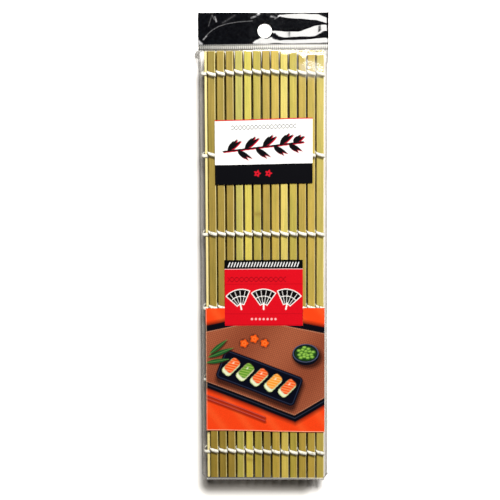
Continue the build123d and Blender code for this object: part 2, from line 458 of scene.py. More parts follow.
def slat_group(name, places, seed, edge_pale_and_lit):
    """Slats of one layer in one mesh."""
    whole = bmesh.new()
    for number, (centre, heading) in enumerate(places):
        cut = (lower_tints[(number * 5 + int(seed)) % 6], 1.0, 0.97, edge_pale_and_lit, None)
        mesh = slat_mesh(cut, seed + number * 0.61, stitch_ys(seed, number))
        mesh.transform(upright(centre, heading))
        whole.from_mesh(mesh)
    mesh = bpy.data.meshes.new(name)
    whole.to_mesh(mesh)
    whole.free()
    return linked(name, mesh, bamboo)


# Each lower layer: its body, where its slats lie, their seed, how pale their right edges are painted (pale
# cut wood with a painted highlight on it), and their node
lower_layers = (
    ("bottom_layer", bottom_places, 21.0, 0.1, "bottom_slats"),
    ("middle_layer", middle_places, 33.0, 0.1, "middle_slats"),
    ("right_fold", right_places, 41.0, 1.0, "right_fold_slat"),
    ("left_fold", left_places, 47.0, 1.0, "left_fold_slat"),
)
for body, places, seed, edge_pale_and_lit, node in lower_layers:
    piece = slat_group("bamboo_" + body, places, seed, edge_pale_and_lit)
    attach(piece, body)
    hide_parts(node)
bpy.data.objects.remove(blank)

# Twine: soft two-ply cotton. In each row one strand passes over a slat and the other under it, and they
# cross in the gap, so every stitch slopes down to the right and the next one starts a step higher.
twine_rise = 0.00064
twine_width = 0.00225
bpy.ops.mesh.primitive_torus_add(
    major_segments=28, minor_segments=8, major_radius=1.0, minor_radius=0.3, generate_uvs=True
)
stitch_blank = bpy.context.object
stitch_blank.name = "stitch_blank"
stitch_half = slat_width / 2 + 0.00018
side_thickness = 0.00012


def held(value):
    """A value kept between 0 and 1."""
    return max(0.0, min(1.0, value))


def stitch_point(around, across, seed, loose):
    """A point of one stitch. Around goes round the slat from its left side over the top, across goes round
    the strand, and loose is how far the strand's top stretch hangs off the slat."""
    over = -math.cos(around)
    up = math.sin(around)
    reach = max(abs(over), abs(up) * 1.6)
    over, rise = over / reach, up * 1.6 / reach
    corner = max(0.0, (abs(over) + abs(rise)) - 1.55) / 0.45
    path_x = over * (stitch_half - 0.00003 * corner)
    path_z = rise * (slat_thickness / 2 + 0.5 * twine_rise - 0.00008 * corner) + loose * max(0.0, rise) ** 2
    slack = 1 + 0.10 * wavering(seed, over * 1.7, rise * 1.3)
    climb = held((-over - 0.55) / 0.42)
    taper = (1 - 0.10 * abs(over) ** 3) * (1 - 0.30 * climb)
    lean = math.cos(across) * twine_width / 2 * taper * slack
    lift = math.sin(across)
    level = abs(rise) > 0.93
    x = path_x + (0.0 if level else lift * math.copysign(side_thickness / 2, over))
    z = path_z + (math.copysign(lift * twine_rise / 2, rise) if level else 0.0)
    y = -twine_slope / 2 * over - 0.00010 * (1 - over * over) + 0.00070 * climb**2 + lean
    return Vector((x, y, z))


def stitch_mesh(seed, loose):
    """One stitch about the origin, with painted shade along its lower side."""
    mesh = stitch_blank.data.copy()
    mesh.attributes.new("under", "FLOAT", "POINT")
    for vertex in mesh.vertices:
        place = vertex.co
        around = math.atan2(place.y, place.x)
        ring = math.hypot(place.x, place.y) - 1.0
        across = math.atan2(place.z, ring)
        vertex.co = stitch_point(math.pi - around, across + math.pi / 2, seed, loose)
        mesh.attributes["under"].data[vertex.index].value = held(math.sin(across) * 2.2 - 0.75)
    return mesh


# Cotton: two plies laid round each other, fine fibres across them, dry and bright, with painted shade along
# each strand's lower side
ply_turns = 9.0
ply_lay = 2.0
cotton, tree, yarn = new_material("cotton twine")
yarn_uv = add_node(tree, "SeparateXYZ", {0: add_node(tree, "UVMap").outputs["UV"]}).outputs
yarn_lay = worked(tree, "MULTIPLY", yarn_uv["Y"], ply_lay)
yarn_turns = worked(tree, "MULTIPLY_ADD", yarn_uv["X"], ply_turns, yarn_lay)
yarn_wave = worked(tree, "SINE", worked(tree, "MULTIPLY", yarn_turns, 2 * math.pi))
yarn_height = worked(tree, "MULTIPLY_ADD", yarn_wave, 0.35, noise_on(tree, 5200, 3.0))
yarn_shade = ramped(tree, yarn_height, (0.10, linear(250, 245, 222)), (0.60, linear(255, 254, 246)))
# Painted shade: the strand's lower side is painted dark brown
yarn_painted_shade = mixed(tree, "MIX", attribute(tree, "under")["Fac"], (1, 1, 1, 1), (0.16, 0.12, 0.05, 1))
plug(tree, yarn, {
    "Base Color": mixed(tree, "MULTIPLY", 1.0, yarn_shade, yarn_painted_shade),
    "Normal": bumped(tree, yarn_height, 0.25, 0.00008),
    "Roughness": 0.85,
    "Specular IOR Level": 0.15,
    "Sheen Weight": 0.25,
    "Sheen Roughness": 0.5,
})


def stitch_group(name, places, seed, rows, loose=0.0):
    """The six stitches round each of some slats, in one piece. Rows gives their places along each slat."""
    whole = bmesh.new()
    whole.loops.layers.uv.new("UVMap")
    whole.verts.layers.float.new("under")
    for number, (centre, heading) in enumerate(places):
        for row, stitch_y in enumerate(rows[number]):
            mesh = stitch_mesh(seed + number * 1.9 + row * 4.7, loose)
            mesh.transform(upright(Vector((centre.x, stitch_y, centre.z)), heading))
            whole.from_mesh(mesh)
            bpy.data.meshes.remove(mesh)
    mesh = bpy.data.meshes.new(name)
    whole.to_mesh(mesh)
    whole.free()
    mesh.shade_smooth()
    return linked(name, mesh, cotton)


for number in range(top_count):
    place = (Vector((top_centre_x[number], slat_mid_y, top_centre_z)), 0.0)
    name = f"twine_on_slat_{number + 1:02d}"
    piece = stitch_group(name, [place], 3.0 + number * 2.3, [top_stitches[number]])
    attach(piece, f"top_{number + 1:02d}")
    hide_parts(f"top_twine_{number + 1:02d}")
for (body, places, slat_seed, _, _), seed, loose in zip(
    lower_layers, (51.0, 57.0, 61.0, 67.0), (0.0, 0.0, 0.0, 0.0013)
):
    rows = [stitch_ys(slat_seed, number) for number in range(len(places))]
    piece = stitch_group("twine_" + body, places, seed, rows, loose)
    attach(piece, body)
    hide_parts(body.replace("_layer", "") + "_twine")
bpy.data.objects.remove(stitch_blank)

# Film: one clear sheet over the mat and one under it, welded along both sides and crimped under the
# header. It lies tight over the slats, falls to the welds in long folds, and is puckered at its top corners.
film_low, film_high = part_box("film_front")
film_level = 12.12
sheet_thickness = 0.00006
film_top = film_high[2] - sheet_thickness
film_end = film_high[1]
film_shoulder = slat_mid_y + slat_length / 2 + 0.0004
film_brink = film_shoulder - 0.0008
film_foot = film_shoulder + 0.0007
weld_height = 0.00019
# The film's cut from each weld up to its level part, in millimetres across and up
left_wall = [
    (-36.5, 0.19), (-36.2, 0.20), (-36.0, 0.5), (-35.8, 2.4), (-35.5, 5.4), (-35.15, 8.5), (-34.6, 10.8),
    (-33.9, 11.80), (-32.9, film_level),
]
right_wall = [
    (33.3, film_level), (33.95, 11.80), (34.3, 10.8), (34.65, 8.5), (35.05, 5.4), (35.45, 2.4), (35.8, 0.5),
    (36.0, 0.20), (36.5, 0.19),
]
# The ears at its top corners: how far up they lie, half their height and how far they stand out
left_ear = (0.1085, 0.0025, 0.0029)
right_ear = (0.1075, 0.0032, 0.0011)
# The film is drawn in at its mouth, over the last three millimetres
mouth_y = -0.1285
mouth_length = 0.0030
# A patch of painted glare under the top right corner: its middle and half its size
glare_x, glare_y = 0.0265, 0.0995
glare_half_x, glare_half_y = 0.0075, 0.0050
wall_cells = 26
level_cells = 64
film_columns = wall_cells * 2 + level_cells
film_rows = 300
tail_rows = 14
# Folds that stand up from the level film: middle, direction, half length, half width and height
film_folds = (
    (0.0268, 0.0982, -0.28, 0.0080, 0.0028, 0.00042), (0.0215, 0.1045, -1.2, 0.0030, 0.0016, 0.00016),
    (0.0300, 0.0925, -0.7, 0.0030, 0.0018, 0.00010), (0.0120, 0.1060, -0.3, 0.0040, 0.0015, 0.00008),
    (-0.0250, 0.1030, 0.9, 0.0040, 0.0014, 0.00010),
)


def near_mouth(y):
    """How near a place is to the pouch's mouth: 0 where the film lies level, 1 at the mouth."""
    return max(0.0, (mouth_y - y) / mouth_length)


def film_rise(x, y):
    """How far the level film stands above or below its level, at a place."""
    rise = 0.00006 * wavering(x * 55, y * 20, 0.4) + 0.000012 * wavering(x * 300, y * 140, 3.1)
    for fold_x, fold_y, turn, long, wide, high in film_folds:
        along = (x - fold_x) * math.cos(turn) + (y - fold_y) * math.sin(turn)
        aside = (y - fold_y) * math.cos(turn) - (x - fold_x) * math.sin(turn)
        aside += 0.0008 * wavering(x * 210, y * 90, 7.7)
        rise += high * math.exp(-((along / long) ** 2) - (aside / wide) ** 2)
    top_from = 0.1066 if x > 0.019 else 0.1086
    near_top = max(0.0, (y - top_from) / (film_shoulder - top_from))
    return rise - 0.00034 * near_top**1.6 - 0.00045 * near_mouth(y) ** 2


def cut_point(cut, share):
    """A point of one wall's cut, from 0 at its first place to 1 at its last."""
    step = share * (len(cut) - 1)
    first = min(int(step), len(cut) - 2)
    part = step - first
    part = part * part * (3 - 2 * part) * 0.35 + part * 0.65
    return [cut[first][axis] * (1 - part) + cut[first + 1][axis] * part for axis in (0, 1)]


bpy.ops.object.select_all(action="DESELECT")
bpy.ops.mesh.primitive_grid_add(x_subdivisions=film_columns, y_subdivisions=film_rows, size=2)
film = bpy.context.object
film.name = "front_film"
film.data.attributes.new("crumple_and_glare", "FLOAT", "POINT")
crumple_and_glare = film.data.attributes["crumple_and_glare"]
for number, vertex in enumerate(film.data.vertices):
    column = round((vertex.co.x + 1) / 2 * film_columns)
    row = round((vertex.co.y + 1) / 2 * film_rows)
    tail_row = row - film_rows + tail_rows
    if tail_row <= 0:
        y = film_low[1] + (film_brink - film_low[1]) * row / (film_rows - tail_rows)
    else:
        y = film_brink + (film_end - film_brink) * tail_row / tail_rows
    if column <= wall_cells:
        x, z = cut_point(left_wall, column / wall_cells)
    elif column >= film_columns - wall_cells:
        x, z = cut_point(right_wall, (column - film_columns + wall_cells) / wall_cells)
    else:
        part = (column - wall_cells) / level_cells
        x, z = left_wall[-1][0] * (1 - part) + right_wall[0][0] * part, film_level
    x, z = x * mm, z * mm
    out = -1 if x < 0 else 1
    up = held((z - 0.0003) / (film_top - 0.0003))
    on_wall = 1.0 if column < wall_cells - 1 or column > film_columns - wall_cells + 1 else 0.0
    belly = math.sin(math.pi * min(1.0, up)) * on_wall
    fold = wavering(out * 2.0, y * 34, up * 1.9) + 0.5 * wavering(out * 5.0, y * 130, up * 5.0)
    x += out * belly * 0.00042 * fold
    ear_y, ear_half, ear_out = left_ear if out < 0 else right_ear
    ear = math.exp(-(((y - ear_y) / ear_half) ** 2)) * on_wall
    crease = wavering(y * 620, up * 7.0, out * 3.0)
    x += out * ear * (1 - up) * min(1.0, up * 9) * ear_out * (1 + 0.55 * crease)
    z += ear * min(1.0, up * 9) * (1 - up) * 0.0006 * crease
    x -= out * 0.0021 * near_mouth(y) ** 2 * up * on_wall
    z += film_rise(x, y) * min(1.0, up * up)
    z = weld_height + (z - weld_height) * held((film_foot - y) / (film_foot - film_shoulder))
    vertex.co = (x, y, z)
    streak = wavering(out * 1.1, y * 16, up * 6.5) + 0.6 * wavering(out * 4.1, y * 60, up * 15.0)
    streak -= 0.5 * max(0.0, up - 0.5)
    whiten = on_wall * (0.03 + 0.34 * max(0.0, streak - 0.10)) + 0.9 * ear * (0.45 + 0.8 * crease)
    # Painted glare: on the level film a patch under the top right corner and a band along the top of its
    # right half are painted white
    if not on_wall:
        painted_glare = math.exp(-(((x - glare_x) / glare_half_x) ** 2) - ((y - glare_y) / glare_half_y) ** 2)
        whiten = 0.16 * painted_glare * (1 + wavering(x * 300, y * 300, 2.0))
        if x > 0.016:
            whiten += 0.12 * max(0.0, (y - 0.1060) / 0.004) * (1 + wavering(x * 190, y * 400, 1.0))
    if row <= 1:
        whiten = 0.34
    # Painted light: the foot under the crimp is painted whiter on its right half than on its left
    if row >= film_rows - 6:
        whiten = (0.10 if x < 0 else 0.40) + 0.25 * wavering(x * 500, 0.0, 0.0)
    crumple_and_glare.data[number].value = held(whiten)
bpy.ops.object.shade_smooth()


def thickened(piece, thickness, offset):
    """Gives a sheet its thickness."""
    modifier = piece.modifiers.new("thickness", "SOLIDIFY")
    modifier.thickness = thickness
    modifier.offset = offset
    bpy.ops.object.modifier_apply(modifier="thickness")


thickened(film, sheet_thickness, -1)

# Clear film: what lies behind shows through, a lamp throws back a hard glare, and folds turn it white. The
# crumple attribute also carries the painted glare, and in the whitest crinkles the white is mottled dark grey
# as a painted reflection.
clear, tree, sheen = new_material("clear film")
clear_fold_and_glare = attribute(tree, "crumple_and_glare")["Fac"]
clear_pale = (0.97, 0.97, 0.95, 1)
clear_painted_reflection = ramped(tree, noise_on(tree, 900, 3), (0.42, (0.07, 0.06, 0.09, 1)), (0.56, clear_pale))
plug(tree, sheen, {
    "Base Color": mixed(tree, "MIX", ranged(tree, clear_fold_and_glare, 0.35, 0.60), clear_pale, clear_painted_reflection),
    "Metallic": ranged(tree, clear_fold_and_glare, high=0.12, to_low=1.0, to_high=0.0),
    "Roughness": ranged(tree, clear_fold_and_glare, to_low=0.05, to_high=0.22),
})
clear_facing = add_node(tree, "LayerWeight", {"Blend": 0.5}).outputs["Facing"]
clear_edge = ranged(tree, worked(tree, "POWER", clear_facing, 5.0), to_low=0.026, to_high=0.85)
clear_haze = ranged(tree, noise_on(tree, 160, 5), 0.40, 0.75, 0.0, 0.02)
clear_glare = worked(tree, "ADD", clear_edge, clear_haze)
clear_share = worked(tree, "MULTIPLY_ADD", clear_fold_and_glare, 0.62, clear_glare, clamp=True)
clear_open = add_node(tree, "BsdfTransparent")
clear_mix = add_node(tree, "MixShader", {0: clear_share, 1: clear_open.outputs[0], 2: sheen.outputs[0]})
plug(tree, tree.nodes["Material Output"], {"Surface": clear_mix.outputs[0]})
film.data.materials.append(clear)


def on_pouch(piece, node):
    """Gives a piece to the pouch."""
    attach(piece, "pouch")
    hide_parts(node)
    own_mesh(piece)


def coated(node, material):
    """Gives a CAD node its material."""
    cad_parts[node].data.materials.clear()
    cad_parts[node].data.materials.append(material)


on_pouch(film, "film_front")
coated("film_back", clear)

# Crimp: both films are pressed together in fine ribs under the header. The black of the header runs out
# in teeth between the ribs.
seal_low, seal_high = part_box("seal_strip")
rib_pitch = 0.0011312
rib_start = 0.010209
seal_painted_reflection_x = 0.012
rib_wave = bpy.data.node_groups.new("rib wave", "ShaderNodeTree")
rib_wave.interface.new_socket("Across", in_out="INPUT", socket_type="NodeSocketFloat")
rib_wave.interface.new_socket("Wave", in_out="OUTPUT", socket_type="NodeSocketFloat")
rib_across = rib_wave.nodes.new("NodeGroupInput").outputs["Across"]
rib_turns = worked(rib_wave, "SUBTRACT", rib_across, rib_start)
rib_turns = worked(rib_wave, "MULTIPLY", rib_turns, 2 * math.pi / rib_pitch)
plug(rib_wave, rib_wave.nodes.new("NodeGroupOutput"), {"Wave": worked(rib_wave, "COSINE", rib_turns)})


def object_place(tree):
    """The place on the piece, axis by axis."""
    return add_node(tree, "SeparateXYZ", {0: add_node(tree, "TexCoord").outputs["Object"]}).outputs


def ribs(tree, across):
    """The wave of the ribs, 1 on a rib and -1 between two."""
    return add_node(tree, "Group", {"Across": across}, node_tree=rib_wave).outputs["Wave"]


crimp, tree, seal = new_material("crimped seal")
seal_place = object_place(tree)
seal_up = ranged(tree, seal_place["Y"], seal_low[1], seal_high[1])
# How light the seal is and how deep its ribs are, from the film up to the header. Its foot is painted dark, a
# painted shadow where the film meets the crimp.
seal_light_and_painted_shade = ((0.0, 0.16), (0.26, 0.15), (0.38, 0.42), (0.72, 0.56), (0.82, 0.90), (1.0, 0.66))
seal_depths = ((0.0, 0.0), (0.26, 0.05), (0.38, 0.80), (0.72, 0.80), (0.82, 0.10), (1.0, 0.45))
seal_band = ramped(tree, seal_up, *seal_light_and_painted_shade)
seal_depth = ramped(tree, seal_up, *seal_depths)
seal_sum = worked(tree, "MULTIPLY_ADD", ribs(tree, seal_place["X"]), seal_depth, seal_band)
# Painted reflection: the seal is painted darker towards its left end and lighter towards the right, where the
# lamp is thrown back
seal_painted_reflection = ranged(tree, seal_place["X"], seal_low[0], seal_painted_reflection_x, 0.45, 1.25)
seal_level = worked(tree, "MULTIPLY", seal_sum, seal_painted_reflection, clamp=True)
plug(tree, seal, {
    "Base Color": ramped(tree, seal_level, (0.0, linear(14, 13, 15)), (1.0, linear(236, 235, 230))),
    "Roughness": 0.55,
    "Specular IOR Level": 0.15,
})
coated("seal_strip", crimp)

# Header: the film above the crimp, printed black and folded double, with a round hole to hang it by.
# It is stiff but never flat: long soft waves throw the lamp back in patches, and a few sharp creases are
# painted white, partly as whitened ink and partly as painted reflection.
header_low, header_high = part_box("header")
hole_x, hole_y, hole_r = 0.0008, 0.1215, 0.0040
# Sharp creases, as lines in millimetres across and above the crimp, each with how wide and how white it is
# painted.
# The white is partly whitened ink and partly a painted reflection along the crease.
header_creases = (
    (((-33.6, 3.4), (-31.4, 6.2), (-28.6, 8.6), (-25.0, 10.6), (-20.5, 12.0), (-14.0, 13.0), (-6.0, 13.5)),
     0.34, 0.22),
    (((-33.6, 3.4), (-31.8, 5.4)), 0.5, 0.5),
    (((-30.6, 10.8), (-28.8, 16.6)), 0.40, 0.14), (((-28.6, 16.9), (-27.4, 14.4)), 0.35, 0.22),
    (((-27.0, 15.9), (-26.2, 13.2)), 0.50, 0.60), (((-22.5, 12.6), (-16.0, 16.6)), 0.9, 0.06),
    (((-6.6, 15.2), (-4.4, 15.9)), 0.7, 0.42), (((-3.1, 17.0), (-2.3, 17.3)), 0.8, 1.0),
    (((4.2, 15.9), (6.8, 15.4)), 0.6, 0.40), (((6.4, 14.6), (9.6, 16.4)), 0.4, 0.35),
    (((-36.4, 2.6), (-34.6, 1.0)), 0.9, 1.0), (((-36.2, 1.0), (-34.9, 1.0)), 0.5, 0.9),
)
# Waves of the header: along each one, how far across it lies, how far above the crimp and how wide it is,
# in millimetres. The film dips there towards its free edge and throws the lamp back.
header_waves = (
    ((8.0, 1.9, 0.2), (11.5, 1.9, 0.8), (20.0, 2.0, 0.9), (27.0, 2.2, 1.1), (32.0, 2.6, 1.4),
     (37.0, 2.6, 1.4)),
    ((4.6, 7.8, 0.2), (8.5, 6.6, 1.4), (12.0, 5.9, 1.6), (20.5, 6.2, 1.3), (25.0, 6.8, 2.2), (29.0, 7.8, 2.8),
     (33.5, 9.6, 1.7), (37.0, 9.4, 1.4)),
    ((9.0, 16.2, 0.2), (15.0, 16.1, 1.0), (23.5, 15.9, 1.3), (30.0, 15.5, 1.5), (33.0, 14.4, 1.3),
     (37.0, 13.0, 1.1)),
    ((-6.2, 1.1, 0.1), (-3.2, 2.0, 1.1), (-1.0, 2.9, 1.7), (1.0, 2.3, 1.3), (3.0, 2.3, 1.3), (4.7, 3.2, 1.8),
     (8.4, 1.9, 0.4)),
)
wave_step = 0.26
wave_count = 72
column_step = 0.33
header_base = 0.00060
flat_slope = 0.030
wave_dip = 0.075
teeth_full, teeth_gone = header_low[1] + 0.0003, header_low[1] + 0.0013


def crease_share(x, up):
    """How white the creases are painted at a place in millimetres, partly whitened ink and partly painted
    reflection.
    """
    white = 0.0
    for line, width, strong in header_creases:
        for (x0, up0), (x1, up1) in zip(line, line[1:]):
            run_x, run_up = x1 - x0, up1 - up0
            part = held(((x - x0) * run_x + (up - up0) * run_up) / (run_x**2 + run_up**2))
            away = math.hypot(x - x0 - part * run_x, up - up0 - part * run_up)
            frayed = 0.7 + 0.5 * wavering(x * 1.3, up * 1.3, width * 9)
            white = max(white, strong * frayed * max(0.0, 1 - away / width))
    return min(1.0, white)


def wave_slope(x, up):
    """How steeply the header rises away from the crimp, at a place in millimetres."""
    bright = 0.0
    for wave in header_waves:
        for near, far in zip(wave, wave[1:]):
            if near[0] <= x <= far[0] and wave[0][0] < x < wave[-1][0]:
                part = (x - near[0]) / (far[0] - near[0])
                middle = near[1] * (1 - part) + far[1] * part
                half = near[2] * (1 - part) + far[2] * part
                middle += 0.35 * wavering(x * 0.45, middle, 4.0)
                bright = max(bright, held((half - abs(up - middle)) / 0.25 + 0.5))
    return flat_slope - wave_dip * bright


header_profiles = {}


def header_profile(column):
    """The header's height step by step away from the crimp, in millimetres, along one of its columns."""
    if column not in header_profiles:
        heights = [0.0]
        for step in range(wave_count):
            slope = wave_slope(column * column_step, (step + 0.5) * wave_step)
            heights.append(heights[-1] + slope * wave_step)
        header_profiles[column] = heights
    return header_profiles[column]


def header_height(x, y):
    """How far the header stands off the table at a place, even over five columns of its waves."""
    column = round(x / mm / column_step)
    place = max(0.0, min(wave_count - 0.001, (y - header_low[1]) / mm / wave_step))
    first = int(place)
    level = header_base
    for aside in (-4, -2, 0, 2, 4):
        heights = header_profile(column + aside)
        level += (heights[first] * (1 - place + first) + heights[first + 1] * (place - first)) * mm / 5
    level += 0.00012 * wavering(x * 42 + 4.1, y * 60, 0.7) * min(1.0, place / 12)
    level += np.interp(x, (-0.0365, -0.0080, 0.0078, 0.0100), (0.0, 0.00020, -0.00020, -0.00022))
    return level + 0.00005 * crease_share(x / mm, (y - header_low[1]) / mm)


bpy.ops.mesh.primitive_grid_add(x_subdivisions=221, y_subdivisions=72, size=2)
header = bpy.context.object
header.name = "black_header"
for vertex in header.data.vertices:
    vertex.co.x = (vertex.co.x + 1) / 2 * (header_high[0] - header_low[0]) + header_low[0]
    vertex.co.y = (vertex.co.y + 1) / 2 * (header_high[1] - header_low[1]) + header_low[1]
thickened(header, 0.00018, 0)
bpy.ops.object.select_all(action="DESELECT")
bpy.ops.mesh.primitive_cylinder_add(vertices=72, radius=hole_r, depth=0.004, location=(hole_x, hole_y, 0))
punch = bpy.context.object
bpy.context.view_layer.objects.active = header
hole = header.modifiers.new("hole", "BOOLEAN")
hole.operation = "DIFFERENCE"
hole.solver = "EXACT"
hole.object = punch
bpy.ops.object.modifier_apply(modifier="hole")
bpy.data.objects.remove(punch)
header.data.shade_smooth()
header.data.attributes.new("crease_white_and_glint", "FLOAT", "POINT")
crease_white_and_glint = header.data.attributes["crease_white_and_glint"]
for vertex in header.data.vertices:
    x, y = vertex.co.x, vertex.co.y
    vertex.co.z += header_height(x, y)
    crease_white_and_glint.data[vertex.index].value = crease_share(x / mm, (y - header_low[1]) / mm)

# Black film: fine scuffs, creases painted white (partly whitened ink, partly painted reflection) and, at the
# crimp, the teeth between its ribs
black, tree, gloss = new_material("black header film")
gloss_place = object_place(tree)
gloss_scuff = noise_on(tree, 700, 5)
gloss_colour = ramped(tree, gloss_scuff, (0.4, linear(6, 6, 9)), (0.8, linear(20, 22, 26)))
gloss_colour = mixed(tree, "MIX", attribute(tree, "crease_white_and_glint")["Fac"], gloss_colour, linear(226, 226, 230))
gloss_near = ranged(tree, gloss_place["Y"], teeth_full, teeth_gone, 0.60, -0.75)
gloss_aside = ranged(tree, gloss_place["X"], header_low[0], 0.0, -0.45, 0.05)
gloss_base = worked(tree, "ADD", gloss_near, gloss_aside)
gloss_teeth = worked(tree, "MULTIPLY_ADD", ribs(tree, gloss_place["X"]), 0.50, gloss_base, clamp=True)
plug(tree, gloss, {
    "Base Color": mixed(tree, "MIX", gloss_teeth, gloss_colour, linear(236, 235, 232)),
    "Roughness": ranged(tree, gloss_scuff, to_low=0.03, to_high=0.12),
    "Coat Weight": 1.0,
    "Coat Roughness": 0.03,
})
header.data.materials.append(black)
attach(header, "header_flap")
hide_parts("header")

# Prints: ink on the outside of the film. Each printed area is a thin skin that follows the film, painted
# area by area, with a gloss as strong as the film's own.
print_lift = 0.00005
weave_turn = math.radians(27)
ink, tree, print_gloss = new_material("gloss ink")
print_grain = ramped(tree, noise_on(tree, 2600, 2), (0.3, 0.90), (0.7, 1.06))
print_colour = mixed(tree, "MULTIPLY", 1.0, attribute(tree, "ink")["Color"], print_grain)
weave_place = add_node(tree, "Mapping", {
    "Vector": add_node(tree, "TexCoord").outputs["Object"],
    "Rotation": (0, 0, weave_turn),
    "Scale": (1300, 1300, 1300),
}).outputs["Vector"]
weave_check = add_node(tree, "TexChecker", {
    "Vector": weave_place, "Scale": 1.0, "Color1": (1.18, 1.12, 1.08, 1), "Color2": (0.78, 0.76, 0.74, 1),
}).outputs["Color"]
plug(tree, print_gloss, {
    "Base Color": mixed(tree, "MULTIPLY", attribute(tree, "weave")["Fac"], print_colour, weave_check),
    "Roughness": 0.16,
    "Coat Weight": 0.5,
    "Coat Roughness": 0.05,
})


def slip(x, y):
    """How far the film, and the print on it, is pulled out of line at a place."""
    pull = np.interp(y, (-0.103, -0.040, 0.0, 0.036, 0.072), (-0.00055, 0.0, 0.00005, 0.00038, 0.00062))
    return pull * math.sin(x / 0.033 * math.pi / 2) + 0.00010 * wavering(x * 90, y * 40, 8.0)


def printed_sheet(name, node, cells_x, cells_y, ground):
    """A fine grid over a printed node, lying on the film, with its points in millimetres from the top left
    and every point in the ground colour."""
    low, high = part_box(node)
    bpy.ops.object.select_all(action="DESELECT")
    bpy.ops.mesh.primitive_grid_add(x_subdivisions=cells_x, y_subdivisions=cells_y, size=2)
    sheet = bpy.context.object
    sheet.name = name
    count = len(sheet.data.vertices)
    places = np.empty(count * 3)
    sheet.data.vertices.foreach_get("co", places)
    places = places.reshape(-1, 3)
    across = (places[:, 0] + 1) / 2 * (high[0] - low[0])
    down = (1 - places[:, 1]) / 2 * (high[1] - low[1])
    for number in range(count):
        x, y = low[0] + across[number], high[1] - down[number]
        drop = np.interp(x, (-0.0339, -0.0329, 0.0333, 0.03395), (0.00032, 0.0, 0.0, 0.00032))
        places[number] = x, y + slip(x, y), film_level * mm + film_rise(x, y) + print_lift - drop
    sheet.data.vertices.foreach_set("co", places.ravel())
    return sheet, across / mm, down / mm, np.tile(np.array(ground), (count, 1))


def finish_print(weave=None):
    """Puts the paint on the printed sheet in hand."""
    mesh = sheet.data
    mesh.attributes.new("ink", "FLOAT_COLOR", "POINT")
    mesh.attributes["ink"].data.foreach_set("color", colours.ravel())
    if weave is not None:
        mesh.attributes.new("weave", "FLOAT", "POINT")
        mesh.attributes["weave"].data.foreach_set("value", weave)
    mesh.materials.append(ink)
    mesh.shade_smooth()


def inside(distance, soft):
    """1 inside a shape and 0 outside, from the distance to its edge in millimetres, negative inside."""
    return np.clip(0.5 - distance / soft, 0, 1)


def lay(cover, colour):
    """Lays paint over the printed sheet in hand, where cover is 1."""
    global colours
    cover = np.clip(cover, 0, 1)[:, None]
    colours = colours * (1 - cover) + np.array(colour)[None, :] * cover


def paint(distance, colour, soft=0.12, cover=1.0):
    """Paints a shape, given by the distance to its edge."""
    lay(inside(distance, soft) * cover, colour)


def leaf(root, tip, width):
    """The distance to a pointed leaf from its root to its tip."""
    run = np.array(tip) - np.array(root)
    span = np.hypot(*run)
    part = ((across - root[0]) * run[0] + (down - root[1]) * run[1]) / span**2
    away = np.abs((across - root[0]) * run[1] - (down - root[1]) * run[0]) / span
    shape = width * np.sin(np.pi * np.clip(part, 0, 1)) ** 0.8 * (1.25 - 0.5 * np.clip(part, 0, 1))
    outside = np.maximum(-part, part - 1) * span
    return np.maximum(away - shape, outside)


def bar(start, end, width):
    """The distance to a straight stroke with round ends."""
    run = np.array(end) - np.array(start)
    part = np.clip(((across - start[0]) * run[0] + (down - start[1]) * run[1]) / (run @ run), 0, 1)
    return np.hypot(across - start[0] - part * run[0], down - start[1] - part * run[1]) - width


def oval(centre, half_x, half_y):
    """The distance to an oval, near enough."""
    share = np.hypot((across - centre[0]) / half_x, (down - centre[1]) / half_y)
    return (share - 1) * min(half_x, half_y)


def cords(line_down, sway, step, lean, half, middle, reach):
    """The distances to two cords that wave about a line and cross at every turn."""
    for turn in (0.0, math.pi):
        cord = np.abs(down - line_down - sway * np.sin(across * step + turn)) * lean - half
        yield np.maximum(cord, np.abs(across - middle) - reach)


# White label: a red line at its top, a spray of bamboo leaves in black with a red shadow, and a black
# band under it with a pair of small red flowers.
ink_black = linear(10, 10, 14)
paper = linear(252, 252, 250)
sheet, across, down, colours = printed_sheet("label_white_print", "label_white", 216, 100, paper)
paint(down - 0.55, linear(206, 40, 36))
for cord in cords(4.4, 1.05, 1.45, 0.60, 0.13, 26.9, 17.9):
    paint(cord, linear(58, 58, 62))
# Where each leaf leaves the stem, how it leans and how long it is
spray = (
    (7.0, -2.6, 9.2), (12.5, 2.9, 8.0), (16.5, -2.2, 9.8), (22.5, 3.0, 8.4), (26.5, -2.8, 9.4),
    (32.5, 2.4, 7.8), (36.0, -3.0, 9.0), (41.0, 2.6, 7.0), (43.5, -2.0, 6.6),
)
for shift, colour in ((0.45, linear(196, 24, 50)), (0.0, linear(10, 8, 12))):
    paint(bar((4.6 + shift, 17.4 + shift), (48.8 + shift, 13.2 + shift), 0.42), colour)
    for number, (root_x, lean, long) in enumerate(spray):
        root_y = 17.4 - (root_x - 4.6) * 0.095
        up = -1 if number % 2 == 0 else 1
        for spread in (-0.9, 0.0, 0.9):
            tip_x = root_x + long * 0.66 + lean * 0.2 + spread * 2.4 + shift
            tip_y = root_y + up * (long * 0.72 - abs(spread)) + shift
            paint(leaf((root_x + shift, root_y + shift), (tip_x, tip_y), 0.95), colour)
finish_print()
on_pouch(sheet, "label_white")

sheet, across, down, colours = printed_sheet("label_band_print", "label_band", 216, 44, ink_black)
for centre in (23.4, 29.6):
    for petal in range(5):
        angle = petal * 2 * math.pi / 5 + 0.3
        tip = (centre + 2.1 * math.sin(angle), 5.1 - 2.1 * math.cos(angle))
        paint(leaf((centre, 5.1), tip, 0.62), linear(206, 22, 40))
    paint(oval((centre, 5.1), 0.42, 0.42), ink_black)
finish_print()
on_pouch(sheet, "label_band")

